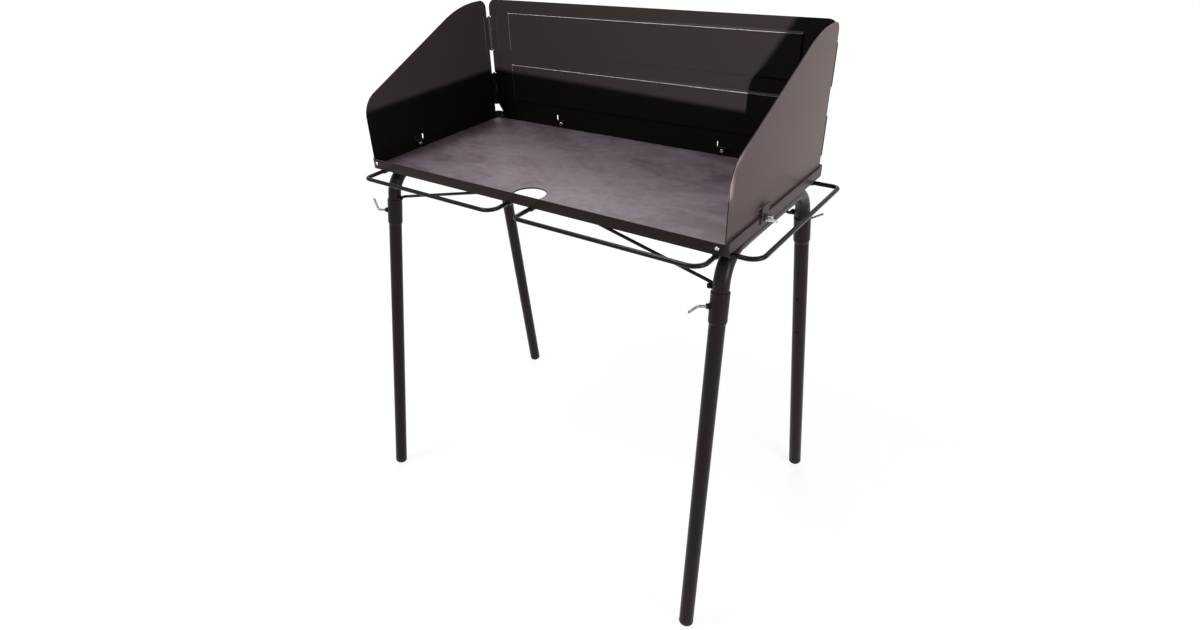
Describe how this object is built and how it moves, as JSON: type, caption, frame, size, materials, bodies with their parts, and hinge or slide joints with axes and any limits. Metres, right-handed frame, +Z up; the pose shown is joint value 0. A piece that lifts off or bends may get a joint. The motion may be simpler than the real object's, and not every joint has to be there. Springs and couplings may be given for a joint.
{
  "type": "camp cooking table",
  "caption": "Free-standing steel camp cooking table with a rimmed plate, a folding windscreen, hanging rails and splayed fold-under legs that pull off for packing.",
  "frame": {"origin": "middle of the cooking surface, on the top face of the plate", "axes": "+Z up, +X to the right along the front, +Y to the back wall of the windscreen"},
  "size_m": [0.8868, 0.5886, 1.0509],
  "materials": {
    "black_paint": "satin black powder coat",
    "cook_steel": "dark grey heat-resistant coat on steel plate",
    "zinc_steel": "bright zinc plate",
    "rubber": "matt black"
  },
  "bodies": {
    "tray": {"cook_plate": "cook_steel", "front_rail": "black_paint", "back_rail": "black_paint", "left_rail": "black_paint", "right_rail": "black_paint", "corner_rivets": "zinc_steel", "clip_plates": "black_paint", "front_left_hanging_rail": "black_paint", "front_right_hanging_rail": "black_paint", "side_hanging_rail": "black_paint", "hanging_rail_clips": "black_paint", "left_pivot_straps": "black_paint", "right_pivot_straps": "black_paint", "stay_guide": "black_paint"},
    "left_leg_frame": {"left_leg_tube": "black_paint", "left_stay_lugs": "black_paint"},
    "right_leg_frame": {"right_leg_tube": "black_paint", "right_stay_lugs": "black_paint"},
    "left_stay_bail": {"left_stay": "black_paint"},
    "right_stay_bail": {"right_stay": "black_paint"},
    "screen": {"back_panel": "black_paint", "left_back_leaves": "black_paint", "right_back_leaves": "black_paint", "left_hinge_pins": "zinc_steel", "right_hinge_pins": "zinc_steel", "back_keepers": "black_paint"},
    "left_screen_wing": {"left_wing": "black_paint", "left_wing_leaves": "black_paint", "left_keeper": "black_paint"},
    "right_screen_wing": {"right_wing": "black_paint", "right_wing_leaves": "black_paint", "right_keeper": "black_paint"},
    "front_left_lower_leg": {"front_left_leg": "black_paint", "front_left_nut": "black_paint", "front_left_foot": "rubber"},
    "front_left_clamp": {"front_left_clamp_screw": "zinc_steel"},
    "front_right_lower_leg": {"front_right_leg": "black_paint", "front_right_nut": "black_paint", "front_right_foot": "rubber"},
    "front_right_clamp": {"front_right_clamp_screw": "zinc_steel"},
    "back_left_lower_leg": {"back_left_leg": "black_paint", "back_left_nut": "black_paint", "back_left_foot": "rubber"},
    "back_left_clamp": {"back_left_clamp_screw": "zinc_steel"},
    "back_right_lower_leg": {"back_right_leg": "black_paint", "back_right_nut": "black_paint", "back_right_foot": "rubber"},
    "back_right_clamp": {"back_right_clamp_screw": "zinc_steel"},
    "left_clip": {"left_clip_screw": "zinc_steel"},
    "right_clip": {"right_clip_screw": "zinc_steel"},
    "back_left_clip": {"back_left_clip_screw": "zinc_steel"},
    "back_right_clip": {"back_right_clip_screw": "zinc_steel"}
  },
  "joints": [
    {"name": "left_legs_fold", "type": "hinge", "parent": "tray", "child": "left_leg_frame", "pos_m": [-0.386, 0, -0.02], "axis": [0, -1, 0], "range_deg": [0, 80]},
    {"name": "right_legs_fold", "type": "hinge", "parent": "tray", "child": "right_leg_frame", "pos_m": [0.386, 0, -0.02], "axis": [0, 1, 0], "range_deg": [0, 65]},
    {"name": "left_stay_turn", "type": "hinge", "parent": "left_leg_frame", "child": "left_stay_bail", "pos_m": [-0.36938, 0, -0.07675], "axis": [0, -1, 0], "range_deg": [-100, 1]},
    {"name": "right_stay_turn", "type": "hinge", "parent": "right_leg_frame", "child": "right_stay_bail", "pos_m": [0.36938, 0, -0.07675], "axis": [0, 1, 0], "range_deg": [-100, 1]},
    {"name": "front_left_leg_pull", "type": "slide", "parent": "left_leg_frame", "child": "front_left_lower_leg", "axis": [-0.0417, -0.153, -0.9873], "range_m": [0, 0.06]},
    {"name": "front_left_clamp_turn", "type": "hinge", "parent": "front_left_lower_leg", "child": "front_left_clamp", "pos_m": [-0.40373, -0.19112, -0.10462], "axis": [-0.7019, -0.6988, 0.1379], "continuous": true},
    {"name": "front_right_leg_pull", "type": "slide", "parent": "right_leg_frame", "child": "front_right_lower_leg", "axis": [0.0417, -0.153, -0.9873], "range_m": [0, 0.06]},
    {"name": "front_right_clamp_turn", "type": "hinge", "parent": "front_right_lower_leg", "child": "front_right_clamp", "pos_m": [0.3743, -0.18984, -0.10606], "axis": [-0.7695, -0.6352, 0.0659], "continuous": true},
    {"name": "back_left_leg_pull", "type": "slide", "parent": "left_leg_frame", "child": "back_left_lower_leg", "axis": [-0.0417, 0.153, -0.9873], "range_m": [0, 0.06]},
    {"name": "back_left_clamp_turn", "type": "hinge", "parent": "back_left_lower_leg", "child": "back_left_clamp", "pos_m": [-0.38956, 0.1969, -0.10432], "axis": [0.0065, 0.9882, 0.1528], "continuous": true},
    {"name": "back_right_leg_pull", "type": "slide", "parent": "right_leg_frame", "child": "back_right_lower_leg", "axis": [0.0417, 0.153, -0.9873], "range_m": [0, 0.06]},
    {"name": "back_right_clamp_turn", "type": "hinge", "parent": "back_right_lower_leg", "child": "back_right_clamp", "pos_m": [0.39026, 0.19689, -0.1043], "axis": [0.0284, 0.9876, 0.1542], "continuous": true},
    {"name": "screen_lift", "type": "slide", "parent": "tray", "child": "screen", "axis": [0, 0, 1], "range_m": [0, 0.08]},
    {"name": "left_wing_fold", "type": "hinge", "parent": "screen", "child": "left_screen_wing", "pos_m": [-0.3985, 0.1945, 0.1], "axis": [0, 0, 1], "range_deg": [0, 80]},
    {"name": "right_wing_fold", "type": "hinge", "parent": "screen", "child": "right_screen_wing", "pos_m": [0.3985, 0.1945, 0.1], "axis": [0, 0, -1], "range_deg": [0, 80]},
    {"name": "left_clip_turn", "type": "hinge", "parent": "tray", "child": "left_clip", "pos_m": [-0.406, -0.067, 0.011], "axis": [-1, 0, 0], "continuous": true},
    {"name": "right_clip_turn", "type": "hinge", "parent": "tray", "child": "right_clip", "pos_m": [0.406, -0.067, 0.011], "axis": [1, 0, 0], "continuous": true},
    {"name": "back_left_clip_turn", "type": "hinge", "parent": "tray", "child": "back_left_clip", "pos_m": [-0.203, 0.202, 0.011], "axis": [0, 1, 0], "continuous": true},
    {"name": "back_right_clip_turn", "type": "hinge", "parent": "tray", "child": "back_right_clip", "pos_m": [0.203, 0.202, 0.011], "axis": [0, 1, 0], "continuous": true}
  ],
  "couplings": [
    {"joint": "left_stay_turn", "follows": "left_legs_fold", "ratio": -1.159},
    {"joint": "right_stay_turn", "follows": "right_legs_fold", "ratio": -1.159}
  ]
}
